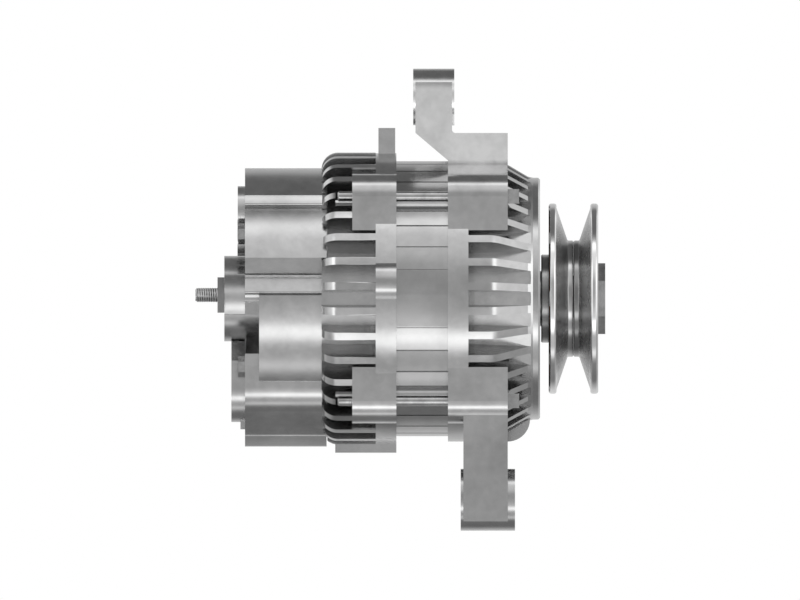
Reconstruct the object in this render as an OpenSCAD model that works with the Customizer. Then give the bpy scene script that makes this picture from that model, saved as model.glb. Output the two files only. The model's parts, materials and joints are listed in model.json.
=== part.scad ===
// Claw-pole alternator with two finned end frames, a lobed rear cover and a pressed V-belt pulley.
// The shaft lies along X with the pulley at +X, the adjusting ear is up (+Z), and the pivot foot is down.
// The origin is on the shaft axis, in the middle plane of the belt groove. Lengths are in millimetres.

/* [Stator] */
// Outer diameter of the laminated core
core_d = 121; // [119:0.5:121.5]
// Bore of the core, where the rotor turns
core_bore_d = 83; // [82.6:0.1:83.4]
// Width of the core left open between the two end frames
core_show = 22.7; // [20:0.1:25]
// Depth to which each end frame holds the core
core_grip = 4; // [3:0.5:5]
// Number of winding slots
slot_count = 36; // [24:12:36]
// Depth of a slot from the bore
slot_depth = 6; // [5:0.5:7]
// Air gap between the core and the claws
air_gap = 0.5; // [0.4:0.05:0.8]
// Gap between the end turns and the frame round them
winding_gap = 1.1; // [0.8:0.1:1.5]
// Width of a slot
slot_w = 3.6; // [3:0.1:3.8]
// Length of the end turns beyond each end of the core
overhang = 9; // [7:0.5:10]

/* [End frames] */
// From the belt groove to the front face of the drive end frame
nose_gap = 14.7; // [14.2:0.1:16]
// Length of the drive end frame
drive_len = 40.5; // [40:0.5:43]
// Length of the slip ring end frame
slip_len = 32.9; // [32.5:0.1:35]
// Outer diameter over the drive end fins
drive_fin_d = 125; // [124:0.5:126]
// Outer diameter of the drive end flange
drive_flange_d = 125.8; // [125:0.2:127]
// Width of the drive end flange
drive_flange_w = 9.2; // [7:0.1:10]
// Rise of the front ring above the groove floor
nose_rise = 2.7; // [2.4:0.1:3.4]
// Width of the front ring
nose_w = 4.4; // [4:0.1:5]
// Outer diameter over the slip ring end fins
slip_fin_d = 128.8; // [128:0.2:130]
// Outer diameter of the slip ring end flange
slip_flange_d = 128; // [127:0.2:128.4]
// Width of the slip ring end flange
slip_flange_w = 9.1; // [7:0.1:10]
// Number of fins round each frame
fin_count = 36; // [30:6:36]
// Thickness of a fin
fin_t = 3.4; // [3:0.1:3.8]
// Thickness of the cast wall under the grooves between the fins
wall = 2.2; // [2:0.1:2.6]
// Corner radius of the slip ring end fins
fin_round = 7.2; // [5:0.2:8]

/* [Through bolts] */
// Offset of the four bolts from the shaft axis, sideways and in height
bolt_offset = 45; // [44.6:0.1:45.4]
// Diameter of the bolt shank
bolt_d = 4.5; // [4:0.1:5]
// Hexagon of the bolt head across flats
bolt_head_af = 7; // [6.5:0.1:8]
// Height of the bolt head
bolt_head_h = 5; // [3:0.5:6]
// Width of the square corner boss
boss_w = 24.8; // [23:0.2:25.4]
// Length of the drive end boss
drive_boss_len = 26.3; // [24:0.1:28]
// Length of the slip ring end boss
slip_boss_len = 19.4; // [16:0.1:21]
// Length of bolt that stands out behind the rear boss
bolt_out = 6.4; // [4:0.1:7]

/* [Adjusting ear] */
// Height of the ear hole above the shaft axis
ear_h = 88.7; // [84:0.1:94]
// Sideways place of the ear hole
ear_y = -8.2; // [-9:0.1:-7]
// Diameter of the ear hub
ear_hub_d = 25; // [24:0.5:26]
// Length of the ear hub
ear_hub_len = 18.1; // [16.5:0.1:20]
// Thickness of the ear arm along the shaft
ear_arm_t = 16.1; // [14:0.1:16.4]
// Thread diameter of the ear hole
ear_bore_d = 8; // [6:0.5:9]

/* [Pivot foot] */
// Depth of the pivot hole below the shaft axis
foot_h = 88.5; // [84:0.1:94]
// Sideways place of the pivot hole
foot_y = -38; // [-38.6:0.1:-37]
// Diameter of the pivot hub
foot_hub_d = 27.2; // [26:0.2:28]
// Length of the pivot hub
foot_hub_len = 23.9; // [22:0.1:26]
// Thickness of the foot along the shaft
foot_arm_t = 19.5; // [18:0.1:20]
// Diameter of the pivot hole
pivot_bore_d = 10.2; // [8.2:0.1:12.2]

/* [Rear cover] */
// Rise of the cover above the groove floor
cover_rise = 6.9; // [6.6:0.1:7.4]
// Length of the cover
cover_len = 35.9; // [34:0.1:37]
// How far the cover laps over the slip ring end frame
cover_lap = 2.2; // [1.5:0.1:2.4]
// Wall of the cover
cover_t = 2; // [1.6:0.1:2.2]
// Diameter of the battery stud
stud_d = 6.4; // [5:0.1:7]
// Length of the stud outside its insulator
stud_len = 9.7; // [8:0.1:14]
// Side of the square stud insulator
stud_block = 15.6; // [13:0.2:16]

/* [Rotor] */
// Number of claws on each pole piece
claw_count = 6; // [5:1:6]
// Thickness of the pole disc behind the claws
pole_t = 9; // [8:0.5:9.5]
// Width of the field coil between the pole discs
coil_w = 22; // [20:0.5:22.5]
// Shaft diameter in the rotor and front bearing
shaft_d = 17; // [16.6:0.1:17.2]
// Shaft diameter in the rear bearing
shaft_rear_d = 15; // [14.6:0.1:15.2]
// Slip ring diameter
slip_ring_d = 17.2; // [16.8:0.1:17.6]
// Width of a slip ring
slip_ring_w = 6; // [5.5:0.1:6.5]

/* [Bearings] */
// Outer diameter of the front bearing
front_bearing_d = 47; // [46.6:0.1:47.4]
// Width of the front bearing
front_bearing_w = 14; // [13.6:0.1:14]
// Outer diameter of the rear bearing
rear_bearing_d = 35; // [34.6:0.1:35.4]
// Width of the rear bearing
rear_bearing_w = 11; // [10.6:0.1:11]

/* [Pulley] */
// Outer diameter of the pulley
pulley_d = 83.7; // [82:0.1:86]
// Diameter at the root of the groove
pulley_root_d = 51.2; // [50:0.1:53]
// Width over both rims
pulley_w = 21.8; // [21:0.1:23]
// Thickness of the pressed steel
pulley_t = 2.4; // [2:0.1:2.6]
// Diameter of the collar behind the pulley
collar_d = 38.8; // [36:0.1:40]
// Hexagon of the pulley nut across flats
nut_af = 27; // [24:0.5:28]
// Thickness of the pulley nut
nut_h = 9; // [7:0.1:9.3]

/* [Hidden] */
$fn = 64;

// Gap left all round between pieces that are pressed or seated together
seat = 0.02;
// Gap between pieces that only pass each other
pass = 0.3;
// Overrun of a cut past the face that it opens
cut = 1;

// Radial stack from the bore of the core out to the fins and in to the rotor
rotor_r = core_bore_d / 2 - air_gap;
winding_in_r = core_bore_d / 2 + 1.1;
winding_out_r = core_bore_d / 2 + slot_depth - 0.3;
frame_r = winding_out_r + winding_gap;
floor_r = frame_r + wall;
nose_r = floor_r + nose_rise;
cover_r = floor_r + cover_rise;

// Places along the shaft, from the belt groove back
nose_x = -nose_gap;
drive_x = nose_x - drive_len;
slip_x = drive_x - core_show;
tail_x = slip_x - slip_len;
cover_x = tail_x + cover_lap - cover_len;
middle_x = (drive_x + slip_x) / 2;
core_len = core_show + 2 * core_grip;
core_x = middle_x - core_len / 2;
fin_x = drive_x + drive_flange_w;
ring_x = nose_x - nose_w;
fin_foot = 0.6;
fin_foot_len = 1.3;
slip_fin_x = slip_x - slip_flange_w;
tail_wall = 3.5;
front_bearing_x = nose_x - 4 - front_bearing_w;
rear_bearing_x = tail_x + 2.5;
front_hub_r = front_bearing_d / 2 + 4;
rear_hub_r = rear_bearing_d / 2 + 4;
retainer_x = front_bearing_x - 1.7;

// Corner boss: bolt centres lie one corner radius inside the outer faces
boss_out = bolt_offset + 9.9;
boss_r = boss_out - bolt_offset;
bolt_room = 2.2;

// Hubs of the ear and the foot, and the steel pieces pressed into them
ear_hub_x = drive_x - 15.3;
ear_insert_r = ear_bore_d / 2 + 2;
foot_hub_x = drive_x + drive_boss_len - foot_arm_t - 1.2;
bush_r = pivot_bore_d / 2 + 2.4;
collar_neck_r = 12.2;
retainer_angles = [45, 135, 225, 315];
retainer_screw_ring = front_bearing_d / 2 + 2;

// Rotor stack, from the middle of the core outwards
pole_front_x = middle_x + coil_w / 2 + pole_t;
pole_rear_x = middle_x - coil_w / 2 - pole_t;
fan_t = 1.5;
fan_h = 6.5;
pole_core_r = rotor_r - 21;
coil_r = rotor_r - 10.6;

front_ball_ring = 16;
front_ball_r = 4.3;
rear_ball_ring = 12.5;
rear_ball_r = 3;
ball_count = 8;
retainer_t = 1.7 - seat;
nut_x = pulley_t + 2.6;
nut_bore_r = 8;
web_gap = seat / 2;

// Slip rings and brushes
ring_gap = 5;
inner_ring_x = tail_x - 7 - slip_ring_w;
outer_ring_x = inner_ring_x - ring_gap - slip_ring_w;
sleeve_r = slip_ring_d / 2 - 1.6;
brush_w = slip_ring_w - 1;
brush_d = 6.5;
brush_len = 14;
brush_top = slip_ring_d / 2 + 0.3;
spring_len = 8;
holder_bottom = brush_top + brush_len + spring_len;
holder_top = slip_ring_d / 2 + 1.5;

// Rectifier plates and what they hold
plate_t = 3;
negative_x = tail_x - plate_t;
plate_gap = 9;
positive_x = negative_x - plate_gap - plate_t;
plate_in = floor_r - 16.5;
plate_out = floor_r;
plate_from = -20;
plate_to = 131;
diode_r = 6.2;
diode_ring = floor_r - 8.5;
screw_ring = floor_r - 3.1;
lead_ring = floor_r - 6;
negative_angles = [-2, 46, 94];
positive_angles = [22, 70, 118];
screw_angles = [10, 58, 106];
lead_angles = [-14, 34, 82];

// Places on the rear cover, sideways and in height
cover_flat_y = -36;
capacitor_angle = -33;
capacitor_ring = 41.2;
lobe_bottom = 18.2;
bulge_back = 6.2;
stud_ring_r = 18.8;
pocket_low = -24.2;
pocket_high = -7;
pocket_top = 1.4;
pocket_floor = -14;
stud_y = -24;
stud_z = 1.6;
stud_base_x = cover_x - 9.1;
stud_block_t = 3;
stud_shank_r = stud_d / 2 - 0.2;
cover_screw_spots = [[227, floor_r - 9.5], [-44.1, floor_r - 3.1], [143.1, floor_r - 3.1]];
cover_screw_places = [for (s = cover_screw_spots) s[1] * [cos(s[0]), sin(s[0])]];
post_places = [[-18, -38], [18, -38]];
post_len = 7.2;

// Slides a flat YZ outline along the shaft
module section(x, l) {
    translate([x, 0, 0]) rotate([90, 0, 90]) linear_extrude(l) children();
}

// Turns a flat [radius, x] outline about the shaft
module turned() {
    rotate([90, 0, 90]) rotate_extrude(convexity = 6) children();
}

// Round bar along the shaft
module rod(x, l, r) {
    translate([x, 0, 0]) rotate([0, 90, 0]) cylinder(h = l, r = r);
}

// Ring along the shaft
module tube(x, l, r_out, r_in) {
    turned() translate([r_in, x]) square([r_out - r_in, l]);
}

// Plate in the XZ plane from an [x, z] outline
module side_plate(y, w) {
    translate([0, y + w, 0]) rotate([90, 0, 0]) linear_extrude(w) children();
}

// Hexagon bar along the shaft
module hex_bar(x, l, af, turn = 0) {
    translate([x, 0, 0]) rotate([turn, 0, 0]) rotate([0, 90, 0])
        cylinder(h = l, d = af / cos(30), $fn = 6);
}

// Copies at the four bolt corners
module at_bolts() {
    for (sy = [-1, 1], sz = [-1, 1])
        translate([0, sy * bolt_offset, sz * bolt_offset]) children();
}

// Copies round the shaft at a radius, with angle 0 toward +Y and 90 up
module around(angles, r) {
    for (a = angles)
        translate([0, r * cos(a), r * sin(a)]) children();
}

// Square boss outlines, each with its outer corner rounded about the bolt
module boss_outline() {
    low = boss_out - boss_w;
    for (k = [0:3]) rotate(90 * k) {
        translate([low, low]) square([boss_w, bolt_offset - low]);
        translate([low, low]) square([bolt_offset - low, boss_w]);
        translate([bolt_offset, bolt_offset]) circle(r = boss_r);
    }
}

// Wedge between two neighbouring fins, pointing up, from radius r0 to r1
module groove_outline(r0, r1) {
    half = 180 / fin_count;
    w0 = r0 * tan(half) - fin_t / 2 / cos(half);
    w1 = r1 * tan(half) - fin_t / 2 / cos(half);
    polygon([[-w0, r0], [w0, r0], [w1, r1], [-w1, r1]]);
}

// Outer envelope of the drive end fins and the front ring
module drive_envelope() {
    fin_r = drive_fin_d / 2;
    bend_r = 10.2;
    bend_x = ring_x - 18.4;
    slope = 32;
    turned() {
        polygon([
            [0, drive_x], [drive_flange_d / 2, drive_x], [drive_flange_d / 2, fin_x], [fin_r, fin_x],
            [fin_r, bend_x], [fin_r - bend_r * (1 - cos(slope)), bend_x + bend_r * sin(slope)],
            [nose_r + fin_foot, ring_x - 0.9], [nose_r, ring_x + fin_foot_len],
            [nose_r, nose_x - 0.8], [nose_r - 0.8, nose_x], [0, nose_x]
        ]);
        intersection() {
            translate([fin_r - bend_r, bend_x]) circle(r = bend_r);
            translate([fin_r - 3, bend_x]) square([4, bend_r * sin(slope)]);
        }
    }
}

module drive_grooves() {
    top = drive_fin_d / 2 + 3;
    start_x = fin_x - 0.2;
    end_x = ring_x + fin_foot_len;
    for (i = [0:fin_count - 1])
        rotate([i * 360 / fin_count, 0, 0]) intersection() {
            section(start_x, end_x - start_x) groove_outline(floor_r, top);
            side_plate(-8, 16) polygon([
                [start_x, floor_r + 0.05], [end_x, nose_r + fin_foot / 2], [end_x, top], [start_x, top]
            ]);
        }
}

// Adjusting ear: an arm that steps back from the housing to its hub
module ear() {
    half = ear_hub_d / 2;
    arm_x = ear_hub_x + 1;
    shelf_x = drive_x + drive_boss_len;
    shelf_h = 72.9;
    fillet = 1.5;
    side_plate(ear_y - half, ear_hub_d) difference() {
        polygon([
            [arm_x, ear_h + 6.6], [arm_x + ear_arm_t, ear_h + 6.6], [arm_x + ear_arm_t, shelf_h + fillet],
            [arm_x + ear_arm_t + fillet, shelf_h + fillet], [arm_x + ear_arm_t + fillet, shelf_h],
            [shelf_x, shelf_h], [shelf_x, 50], [drive_x, 50], [drive_x, 60.8], [arm_x, shelf_h]
        ]);
        translate([arm_x + ear_arm_t + fillet, shelf_h + fillet]) circle(r = fillet);
    }
    translate([0, ear_y, ear_h]) rod(ear_hub_x, ear_hub_len, half);
}

// Pivot foot: a straight leg beside the lower corner boss
module foot() {
    half = foot_hub_d / 2;
    leg_x = foot_hub_x + 1.2;
    leg_w = foot_hub_d + 2.2;
    translate([leg_x, foot_y - half - 1.1, -foot_h - 9.5]) cube([foot_arm_t, leg_w, foot_h - 30]);
    translate([0, foot_y, -foot_h]) rod(foot_hub_x, foot_hub_len, half);
}

// Rib with a quarter-round nose under the drive end frame
module bottom_rib() {
    nose = 9.8;
    root_x = drive_x + drive_boss_len;
    out = drive_flange_d / 2;
    side_plate(-4, 8) union() {
        translate([fin_x, -out]) square([root_x - fin_x, out - floor_r + 1]);
        intersection() {
            translate([root_x, nose - out]) circle(r = nose);
            translate([root_x - 1, -out - 1]) square([nose + 2, out - floor_r + 1.5]);
        }
    }
}

module front_windows() {
    for (i = [0:7])
        rotate([i * 45 + 22.5, 0, 0]) section(nose_x - 8, 8 + cut) intersection() {
            difference() {
                circle(r = frame_r - 2.5);
                circle(r = front_hub_r + 2.5);
            }
            polygon([[0, 0], [19, 60], [-19, 60]]);
        }
}

module drive_end_frame() {
    color("silver") difference() {
        union() {
            difference() {
                union() {
                    difference() {
                        drive_envelope();
                        drive_grooves();
                    }
                    section(drive_x, drive_boss_len) boss_outline();
                    intersection() {
                        rod(drive_x, drive_boss_len, drive_flange_d / 2);
                        translate([drive_x, -bolt_offset, 34]) cube([drive_boss_len, bolt_offset + 12, 40]);
                    }
                    bottom_rib();
                    ear();
                    foot();
                }
                rod(drive_x - cut, ring_x - drive_x + cut, frame_r);
            }
            rod(front_bearing_x, nose_x - front_bearing_x, front_hub_r);
        }
        rod(drive_x - cut, core_grip + cut, core_d / 2 + seat);
        front_windows();
        rod(front_bearing_x - cut, nose_x - front_bearing_x + 2 * cut, collar_neck_r + 1.8);
        rod(front_bearing_x - cut, front_bearing_w + cut, front_bearing_d / 2 + seat);
        for (a = retainer_angles) rotate([a, 0, 0]) translate([0, 0, retainer_screw_ring])
            rod(front_bearing_x - cut, 7, 1.5 + seat);
        at_bolts() rod(drive_x - cut, drive_boss_len + 2 * cut, bolt_d / 2 + pass);
        translate([0, ear_y, ear_h]) rod(ear_hub_x - cut, ear_hub_len + 2 * cut, ear_insert_r + seat);
        translate([0, foot_y, -foot_h]) rod(foot_hub_x - cut, foot_hub_len + 2 * cut, bush_r + seat);
    }
}

// Steel bush in the foot
module pivot_bush() {
    color("gray") translate([0, foot_y, -foot_h])
        tube(foot_hub_x, foot_hub_len, bush_r, pivot_bore_d / 2);
}

// Threaded steel insert in the ear
module ear_insert() {
    color("gray") translate([0, ear_y, ear_h])
        tube(ear_hub_x, ear_hub_len, ear_insert_r, ear_bore_d / 2);
}

// Outer envelope of the slip ring end fins and flange
module slip_envelope() {
    fin_r = slip_fin_d / 2;
    turned() {
        difference() {
            translate([0, tail_x]) square([fin_r, slip_fin_x - tail_x]);
            difference() {
                translate([fin_r - fin_round, tail_x - cut]) square([fin_round + cut, fin_round + cut]);
                translate([fin_r - fin_round, tail_x + fin_round]) circle(r = fin_round);
            }
        }
        translate([0, slip_fin_x]) square([slip_flange_d / 2, slip_flange_w]);
    }
}

module slip_grooves() {
    for (i = [0:fin_count - 1])
        rotate([i * 360 / fin_count, 0, 0]) section(tail_x - cut, slip_fin_x - tail_x + cut)
            groove_outline(floor_r, slip_fin_d / 2 + 3);
}

module rear_windows() {
    for (i = [0:7])
        rotate([i * 45 + 22.5, 0, 0]) section(tail_x - cut, tail_wall + 2 * cut) intersection() {
            difference() {
                circle(r = plate_in - 0.5);
                circle(r = rear_hub_r + 2);
            }
            polygon([[0, 0], [19, 60], [-19, 60]]);
        }
}

module slip_ring_end_frame() {
    color("silver") difference() {
        union() {
            difference() {
                union() {
                    difference() {
                        slip_envelope();
                        slip_grooves();
                    }
                    section(slip_x - slip_boss_len, slip_boss_len) boss_outline();
                    // Clip lug on top, stud pad at the side and rib below
                    translate([slip_x - 7.9, -5, 60]) cube([7.4, 10, 15.1]);
                    translate([0, -56, 6.8]) rod(slip_fin_x, slip_flange_w, 10.7);
                    translate([tail_x + 6, -7, -67.8]) cube([slip_x - tail_x - 6, 14, 18]);
                }
                rod(tail_x + tail_wall, slip_x - tail_x, frame_r);
                section(tail_x - cut, cover_lap + pass + cut) difference() {
                    cover_outline(pass);
                    circle(r = floor_r + 0.6);
                }
            }
            rod(tail_x, rear_bearing_w + 2.5, rear_hub_r);
            for (p = post_places) translate([0, p[0], p[1]]) rod(tail_x - post_len, post_len + cut, 4);
        }
        rod(slip_x - core_grip, core_grip + cut, core_d / 2 + seat);
        rear_windows();
        rod(tail_x - cut, rear_bearing_w + 6, shaft_rear_d / 2 + 3);
        rod(rear_bearing_x, rear_bearing_w + cut, rear_bearing_d / 2 + seat);
        at_bolts() rod(slip_x - slip_boss_len - cut, slip_boss_len + 2 * cut, bolt_d / 2 + seat);
        at_bolts() rod(slip_x - slip_boss_len - bolt_out - cut, bolt_out + cut, bolt_d / 2 + bolt_room);
        translate([0, 0, 69.8]) rod(slip_x - 9, 10, 2.6);
        for (p = post_places) translate([0, p[0], p[1]]) rod(tail_x - post_len - cut, 9, 2 + seat);
        for (p = cover_screw_places) translate([0, p[0], p[1]]) rod(tail_x - cut, 8, 2.5 + seat);
        around(screw_angles, screw_ring) rod(tail_x - cut, 8, 2 + seat);
        around(lead_angles, lead_ring) rod(tail_x - cut, 8, 1.6);
    }
}

// Laminated core with open slots, bolt clearances and thin grooves down its outside
module stator_core() {
    bore_r = core_bore_d / 2;
    color("darkgray") difference() {
        tube(core_x, core_len, core_d / 2, bore_r);
        for (i = [0:slot_count - 1])
            rotate([i * 360 / slot_count, 0, 0]) section(core_x - cut, core_len + 2 * cut) union() {
                translate([-slot_w / 2, bore_r + 0.8]) square([slot_w, slot_depth - 0.8]);
                translate([-1, bore_r - cut]) square([2, 2 + cut]);
            }
        at_bolts() rod(core_x - cut, core_len + 2 * cut, 7);
        for (quarter = [0:90:270], a = [-32, -22, -12, -2, 12, 22, 32])
            rotate([quarter + a, 0, 0])
                translate([core_x - cut, -0.4, core_d / 2 - 0.6]) cube([core_len + 2 * cut, 0.8, 2]);
    }
}

// Coil bars in the slots, joined by the end turns
module stator_winding() {
    color("peru") union() {
        for (x = [core_x - overhang, core_x + core_len + 0.2])
            tube(x, overhang - 0.2, winding_out_r, winding_in_r);
        for (i = [0:slot_count - 1])
            rotate([i * 360 / slot_count, 0, 0])
                translate([core_x - cut, 0.2 - slot_w / 2, winding_in_r])
                    cube([core_len + 2 * cut, slot_w - 0.4, winding_out_r - winding_in_r - 0.2]);
    }
}

module through_bolts() {
    head_x = drive_x + drive_boss_len;
    end_x = slip_x - slip_boss_len - bolt_out;
    color("lightgray") at_bolts() {
        rod(end_x, head_x - end_x, bolt_d / 2);
        hex_bar(head_x, bolt_head_h, bolt_head_af, 10);
    }
}

// Ball bearing races: a ring with the ball groove cut from one side
module outer_race(x, w, d, ball_ring, ball_r) {
    turned() difference() {
        translate([d / 2 - 4.1 * d / 47, x]) square([4.1 * d / 47, w]);
        translate([ball_ring, x + w / 2]) circle(r = ball_r + 0.04);
    }
}

module inner_race(x, w, d, ball_ring, ball_r) {
    turned() difference() {
        translate([d / 2 + seat, x]) square([ball_ring - 0.8 * ball_r - d / 2 - seat, w]);
        translate([ball_ring, x + w / 2]) circle(r = ball_r + 0.04);
    }
}

module ball_ring_set(x, ring, ball_r) {
    for (i = [0:ball_count - 1])
        rotate([i * 360 / ball_count, 0, 0]) translate([x, 0, ring]) sphere(r = ball_r);
}

module ball_cage(x, ring, ball_r) {
    w = 2.4 * ball_r;
    difference() {
        tube(x - w / 2, w, ring + 0.2 * ball_r, ring - 0.2 * ball_r);
        ball_ring_set(x, ring, ball_r + 0.15);
    }
}

module front_bearing_outer_race() {
    color("silver") outer_race(front_bearing_x, front_bearing_w, front_bearing_d, front_ball_ring, front_ball_r);
}

module front_bearing_inner_race() {
    color("silver") inner_race(front_bearing_x, front_bearing_w, shaft_d, front_ball_ring, front_ball_r);
}

module front_bearing_balls() {
    color("white") ball_ring_set(front_bearing_x + front_bearing_w / 2, front_ball_ring, front_ball_r);
}

module front_bearing_cage() {
    color("tan") ball_cage(front_bearing_x + front_bearing_w / 2, front_ball_ring, front_ball_r);
}

module rear_bearing_outer_race() {
    color("silver") outer_race(rear_bearing_x, rear_bearing_w, rear_bearing_d, rear_ball_ring, rear_ball_r);
}

module rear_bearing_inner_race() {
    color("silver") inner_race(rear_bearing_x, rear_bearing_w, shaft_rear_d, rear_ball_ring, rear_ball_r);
}

module rear_bearing_balls() {
    color("white") ball_ring_set(rear_bearing_x + rear_bearing_w / 2, rear_ball_ring, rear_ball_r);
}

module rear_bearing_cage() {
    color("tan") ball_cage(rear_bearing_x + rear_bearing_w / 2, rear_ball_ring, rear_ball_r);
}

// Plate that keeps the front bearing in its bore
module bearing_retainer() {
    color("gray") difference() {
        tube(retainer_x, retainer_t, front_hub_r - 0.3, shaft_d / 2 + 6);
        for (a = retainer_angles) rotate([a, 0, 0]) translate([0, 0, retainer_screw_ring])
            rod(retainer_x - cut, retainer_t + 2 * cut, 1.5 + seat);
    }
}

module retainer_screws() {
    color("lightgray") for (a = retainer_angles) rotate([a, 0, 0]) translate([0, 0, retainer_screw_ring]) {
        rod(retainer_x, 6, 1.5);
        rod(retainer_x - 1.4, 1.4, 2.2);
    }
}

// Outline of the rear cover seen from behind, grown by g
module cover_outline(g = 0) {
    flat_y = cover_flat_y - g;
    lip = lobe_bottom - g;
    round_r = 10 + g;
    low = -65.1 - g;
    difference() {
        circle(r = cover_r + g);
        translate([flat_y - 60, lip - 90]) square([60, 90]);
    }
    intersection() {
        translate([-27, 13]) circle(r = 30 + g);
        translate([-70, lip]) square([50, 50]);
    }
    translate([cover_flat_y + 10, -39]) circle(r = round_r);
    polygon([
        [flat_y, -20], [flat_y, -39], [cover_flat_y + 10, -39],
        [cover_flat_y + 10 - round_r * cos(60), -39 - round_r * sin(60)], [-11.4 - g, -59 - g * 0.5],
        [-9.8 - g, -60 - g * 0.5], [-2.5 - g, low], [14 + g, low], [24 + g, -50], [30, -20]
    ]);
}

module cover_bulge(g = 0) {
    intersection() {
        circle(r = 51.7 + g);
        translate([cover_flat_y - 30, -36.2 - g]) square([30 + cover_t, 39.1 + 2 * g]);
    }
}

// Stepped pocket behind the bulge: down to the round stud base, and shallower above it
module cover_pocket(g = 0) {
    base = [-6, 0];
    section(cover_x - cut, bulge_back + cut + g) difference() {
        union() {
            translate([-60, pocket_low - g]) square([60 + pocket_floor + g, pocket_high - pocket_low + 2 * g]);
            translate([-60, pocket_high - cut]) square([60 + cover_flat_y + 4 + g, pocket_top + cut + g - pocket_high]);
        }
        translate(base) circle(r = stud_ring_r - g);
    }
}

// Raised pads on the back of the cover
module cover_pads() {
    section(cover_x - 3.2, 3.2 + cover_t / 2) union() {
        translate([-24, 38.5]) circle(r = 11);
        translate([-24, 27.5]) square([34, 22]);
        translate([10, 38.5]) circle(r = 11);
        translate([-22, 27]) circle(r = 8.2);
    }
    section(cover_x - 6, 6 + cover_t / 2) union() {
        translate([-6, -39.7]) circle(r = 14.6);
        translate([-20.6, -39.7]) square([29.2, 21.1]);
    }
    section(cover_x - 2, 2 + cover_t / 2) translate([-9, -57.5]) square([12, 12]);
    section(stud_base_x, cover_x + cover_t / 2 - stud_base_x) difference() {
        union() {
            translate([-6, 0]) circle(r = stud_ring_r);
            translate([stud_y - 9, -7]) square([18, 18]);
        }
        translate([0, 0]) circle(r = 12);
    }
    section(cover_x - 3, 3 + cover_t / 2) circle(r = 13);
}

module rear_cover() {
    inner_x = cover_x + cover_t;
    mouth_x = tail_x - 0.1;
    rib_x = tail_x - 0.5;
    bulge_x = cover_x + bulge_back;
    color("silver") difference() {
        union() {
            difference() {
                section(cover_x, cover_len) cover_outline();
                cover_pocket();
            }
            section(cover_x, rib_x - cover_x) union() {
                translate([-39.6, 41.6]) circle(r = 3);
                translate([-46, 7.3]) circle(r = 4);
                translate([-46, 3.3]) square([12, 8]);
            }
            section(bulge_x, rib_x - bulge_x) cover_bulge();
            cover_pads();
        }
        difference() {
            section(inner_x, cover_len) cover_outline(-cover_t);
            cover_pocket(cover_t);
        }
        section(bulge_x + cover_t, cover_len) cover_bulge(-cover_t);
        rod(mouth_x, cover_lap + 2, floor_r + 0.9);
        for (p = cover_screw_places) translate([0, p[0], p[1]]) rod(cover_x - 8, 12, 2.5 + pass);
        translate([0, cover_screw_places[2][0], cover_screw_places[2][1]]) rod(cover_x - 8, 8, 5);
        translate([0, stud_y, stud_z]) rod(stud_base_x - cut, 12 + cut, 5.2 + seat);
        for (a = [-52:10:18]) section(cover_x - cut, cover_t + 2 * cut) rotate(a)
            translate([24, -1.5]) square([16, 3]);
    }
}

module cover_screws() {
    head_h = 3;
    color("lightgray") for (p = cover_screw_places) translate([0, p[0], p[1]]) {
        rod(cover_x, tail_x + tail_wall - cover_x, 2.5);
        hex_bar(cover_x - head_h, head_h, 8);
    }
}

module regulator() {
    block = [21, 26, 18];
    flange = [3, 44, 8];
    block_x = tail_x - post_len - block[0];
    color("dimgray") difference() {
        union() {
            translate([block_x, -block[1] / 2, -54]) cube(block - [seat, 0, 0]);
            translate([tail_x - post_len - flange[0], -flange[1] / 2, -42]) cube(flange - [seat, 0, 0]);
        }
        for (p = post_places) translate([0, p[0], p[1]]) rod(block_x - cut, block[0] + 3 * cut, 2.2);
    }
}

module regulator_screws() {
    color("lightgray") for (p = post_places) translate([0, p[0], p[1]]) {
        rod(tail_x - post_len - 3 - seat, post_len + 3, 2);
        rod(tail_x - post_len - 5.5, 2.5 - seat, 3.6);
    }
}

// Box with two pockets that guide the brushes up to the slip rings
module brush_holder() {
    back_x = outer_ring_x - 2.2;
    color("dimgray") difference() {
        translate([back_x, -6, -holder_bottom - 2]) cube([tail_x - 0.1 - back_x, 12, holder_bottom + 2 - holder_top]);
        for (x = [inner_ring_x, outer_ring_x])
            translate([x + slip_ring_w / 2 - brush_w / 2 - 0.06, -brush_d / 2 - 0.06, -holder_bottom])
                cube([brush_w + 0.12, brush_d + 0.12, holder_bottom]);
    }
}

module brush(x) {
    top_r = slip_ring_d / 2 + 0.3;
    difference() {
        translate([x + slip_ring_w / 2 - brush_w / 2, -brush_d / 2, -brush_top - brush_len])
            cube([brush_w, brush_d, brush_len + 1.5]);
        rod(x - cut, slip_ring_w + 2 * cut, top_r);
    }
}

module inner_brush() {
    color("black") brush(inner_ring_x);
}

module outer_brush() {
    color("black") brush(outer_ring_x);
}

// Point on a helix of mean radius r that climbs h in the given turns
function helix(u, r, h, turns) = [r * cos(360 * turns * u), r * sin(360 * turns * u), h * u];

// Coil spring, a wire of six sides swept along a helix
module coil_spring(r, h, wire, turns) {
    steps = 12 * turns;
    sides = 6;
    rings = [for (i = [0:steps]) let (c = helix(i / steps, r, h, turns), a = 360 * turns * i / steps)
        for (k = [0:sides - 1]) let (b = 360 * k / sides)
            c + wire * [cos(b) * cos(a), cos(b) * sin(a), sin(b)]];
    walls = [for (i = [0:steps - 1], k = [0:sides - 1])
        let (j = (k + 1) % sides) [i * sides + k, i * sides + j, (i + 1) * sides + j, (i + 1) * sides + k]];
    caps = [[for (k = [sides - 1:-1:0]) k], [for (k = [0:sides - 1]) steps * sides + k]];
    polyhedron(rings, concat(walls, caps), convexity = 8);
}

module brush_spring(x) {
    wire = 0.35;
    translate([x + slip_ring_w / 2, 0, -holder_bottom + wire + 0.05])
        coil_spring(1.8, spring_len - 2 * wire - 0.1, wire, 6);
}

module inner_brush_spring() {
    color("silver") brush_spring(inner_ring_x);
}

module outer_brush_spring() {
    color("silver") brush_spring(outer_ring_x);
}

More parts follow.
